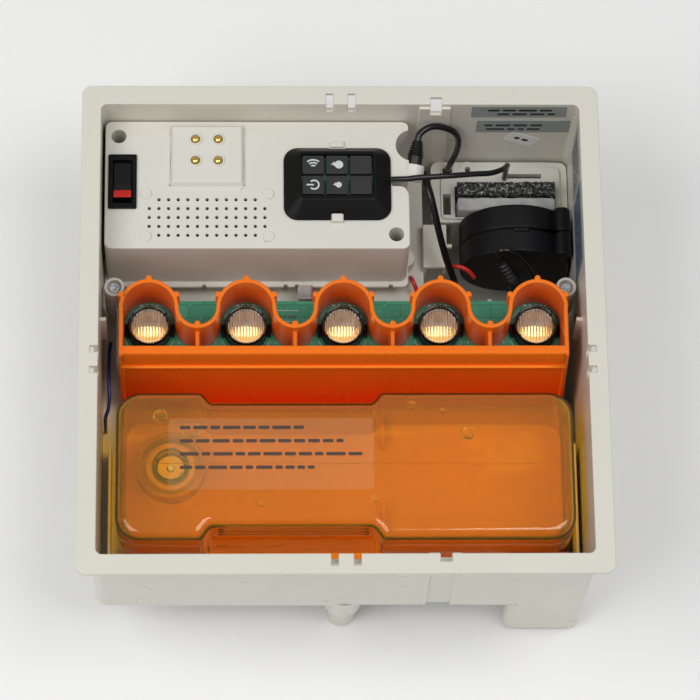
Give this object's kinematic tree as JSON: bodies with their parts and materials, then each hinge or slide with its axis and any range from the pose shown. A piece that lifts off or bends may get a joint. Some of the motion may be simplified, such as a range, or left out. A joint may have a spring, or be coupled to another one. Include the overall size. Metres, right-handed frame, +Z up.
{
  "type": "water vapour fire engine cassette",
  "caption": "Drop-in cassette with a rimmed tub, a control box with keypad and speaker, a blower, a row of lamps under a scalloped mist nozzle and a lift-out water tank.",
  "frame": {"origin": "bottom centre of the whole cassette, on the surface that its peg and feet stand on", "axes": "+X to the right along the row of lamps, +Y to the back where the control box is, +Z up out of the tub"},
  "size_m": [0.254, 0.251, 0.122],
  "materials": {
    "casing_plastic": "semi-gloss moulded off-white",
    "cover_plastic": "satin white",
    "beige_plastic": "satin beige",
    "black_plastic": "fine matt black",
    "rocker_plastic": "black with a red end",
    "key_rubber": "matt black",
    "board_green": "green solder mask",
    "gold": "bright gold plate",
    "zinc": "zinc plated",
    "copper": "enamelled copper",
    "foam_black": "open reticulated foam",
    "felt_grey": "soft needle felt",
    "lamp_clear": "clear fluted lens",
    "lamp_glow": "lit amber chip",
    "nozzle_orange": "glossy orange",
    "tank_amber": "clear amber plastic",
    "cap_yellow": "glossy yellow",
    "seal_rubber": "soft black rubber",
    "white_nylon": "satin white",
    "cable_black": "black cable sheath",
    "wire_red": "red wire",
    "wire_blue": "dark blue wire",
    "ribbon_grey": "grey ribbon cable"
  },
  "bodies": {
    "casing": {"casing": "casing_plastic", "screws": "zinc", "control_base": "casing_plastic", "control_cover": "cover_plastic", "control_board": "board_green", "speaker": "black_plastic", "rocker_bezel": "black_plastic", "contact_barrels": "gold", "keypad_shell": "black_plastic", "keypad_board": "board_green", "filter_frame": "cover_plastic", "blower_front_case": "black_plastic", "blower_rear_case": "black_plastic", "blower_stator": "copper", "lamp_tray": "casing_plastic", "lamp_board": "board_green", "lamp_emitters": "lamp_glow", "sump_tray": "nozzle_orange", "tank_cradle": "beige_plastic", "mist_transducer": "zinc", "lead_plugs": "cable_black", "keypad_lead": "cable_black", "power_lead": "cable_black", "twin_lead": "cable_black", "blower_lead": "cable_black", "red_wires": "wire_red", "blue_wire": "wire_blue", "ribbon_cable": "ribbon_grey", "mains_gland": "seal_rubber", "lamp_holder_1": "black_plastic", "lamp_lens_1": "lamp_clear", "lamp_holder_2": "black_plastic", "lamp_lens_2": "lamp_clear", "lamp_holder_3": "black_plastic", "lamp_lens_3": "lamp_clear", "lamp_holder_4": "black_plastic", "lamp_lens_4": "lamp_clear", "lamp_holder_5": "black_plastic", "lamp_lens_5": "lamp_clear"},
    "rocker": {"rocker_paddle": "rocker_plastic"},
    "impeller": {"blower_impeller": "black_plastic"},
    "nozzle": {"mist_nozzle": "nozzle_orange"},
    "float": {"level_float": "white_nylon"},
    "tank": {"water_tank": "tank_amber"},
    "cap": {"tank_cap": "cap_yellow", "cap_seal": "seal_rubber", "valve_spring": "zinc"},
    "plunger": {"valve_plunger": "white_nylon"},
    "filter": {"filter_foam": "foam_black", "filter_felt": "felt_grey"},
    "contact_1": {"contact_pin_1": "gold"},
    "contact_2": {"contact_pin_2": "gold"},
    "contact_3": {"contact_pin_3": "gold"},
    "contact_4": {"contact_pin_4": "gold"},
    "key_1": {"key_1": "key_rubber"},
    "key_2": {"key_2": "key_rubber"},
    "key_3": {"key_3": "key_rubber"},
    "key_4": {"key_4": "key_rubber"},
    "key_5": {"key_5": "key_rubber"},
    "key_6": {"key_6": "key_rubber"}
  },
  "joints": [
    {"name": "rocker_throw", "type": "hinge", "parent": "casing", "child": "rocker", "pos_m": [-0.1073, 0.0815, 0.1005], "axis": [1, 0, 0], "range_deg": [0, 24]},
    {"name": "contact_1_press", "type": "slide", "parent": "casing", "child": "contact_1", "axis": [0, 0, 1], "range_m": [-0.0015, 0], "stiffness_N_per_m": 300, "springref_m": 0.002},
    {"name": "contact_2_press", "type": "slide", "parent": "casing", "child": "contact_2", "axis": [0, 0, 1], "range_m": [-0.0015, 0], "stiffness_N_per_m": 300, "springref_m": 0.002},
    {"name": "contact_3_press", "type": "slide", "parent": "casing", "child": "contact_3", "axis": [0, 0, 1], "range_m": [-0.0015, 0], "stiffness_N_per_m": 300, "springref_m": 0.002},
    {"name": "contact_4_press", "type": "slide", "parent": "casing", "child": "contact_4", "axis": [0, 0, 1], "range_m": [-0.0015, 0], "stiffness_N_per_m": 300, "springref_m": 0.002},
    {"name": "key_1_press", "type": "slide", "parent": "casing", "child": "key_1", "axis": [0, 0, 1], "range_m": [-0.0008, 0], "stiffness_N_per_m": 400, "springref_m": 0.0006},
    {"name": "key_2_press", "type": "slide", "parent": "casing", "child": "key_2", "axis": [0, 0, 1], "range_m": [-0.0008, 0], "stiffness_N_per_m": 400, "springref_m": 0.0006},
    {"name": "key_3_press", "type": "slide", "parent": "casing", "child": "key_3", "axis": [0, 0, 1], "range_m": [-0.0008, 0], "stiffness_N_per_m": 400, "springref_m": 0.0006},
    {"name": "key_4_press", "type": "slide", "parent": "casing", "child": "key_4", "axis": [0, 0, 1], "range_m": [-0.0008, 0], "stiffness_N_per_m": 400, "springref_m": 0.0006},
    {"name": "key_5_press", "type": "slide", "parent": "casing", "child": "key_5", "axis": [0, 0, 1], "range_m": [-0.0008, 0], "stiffness_N_per_m": 400, "springref_m": 0.0006},
    {"name": "key_6_press", "type": "slide", "parent": "casing", "child": "key_6", "axis": [0, 0, 1], "range_m": [-0.0008, 0], "stiffness_N_per_m": 400, "springref_m": 0.0006},
    {"name": "impeller_spin", "type": "hinge", "parent": "casing", "child": "impeller", "pos_m": [0.089, 0.0662, 0.0525], "axis": [0, 1, 0], "continuous": true},
    {"name": "filter_lift", "type": "slide", "parent": "casing", "child": "filter", "axis": [0, 0, 1], "range_m": [0, 0.015]},
    {"name": "float_rise", "type": "slide", "parent": "casing", "child": "float", "axis": [0, 0, 1], "range_m": [0, 0.003]},
    {"name": "nozzle_lift", "type": "slide", "parent": "casing", "child": "nozzle", "axis": [0, 0, 1], "range_m": [0, 0.09]},
    {"name": "tank_lift", "type": "slide", "parent": "casing", "child": "tank", "axis": [0, 0, 1], "range_m": [0, 0.13]},
    {"name": "cap_turn", "type": "hinge", "parent": "tank", "child": "cap", "pos_m": [-0.0835, -0.0534, 0.057], "axis": [0, 0, 1], "range_deg": [0, 270]},
    {"name": "valve_press", "type": "slide", "parent": "cap", "child": "plunger", "axis": [0, 0, 1], "range_m": [0, 0.003], "stiffness_N_per_m": 150, "springref_m": -0.0015, "deforming": ["valve_spring"]}
  ]
}
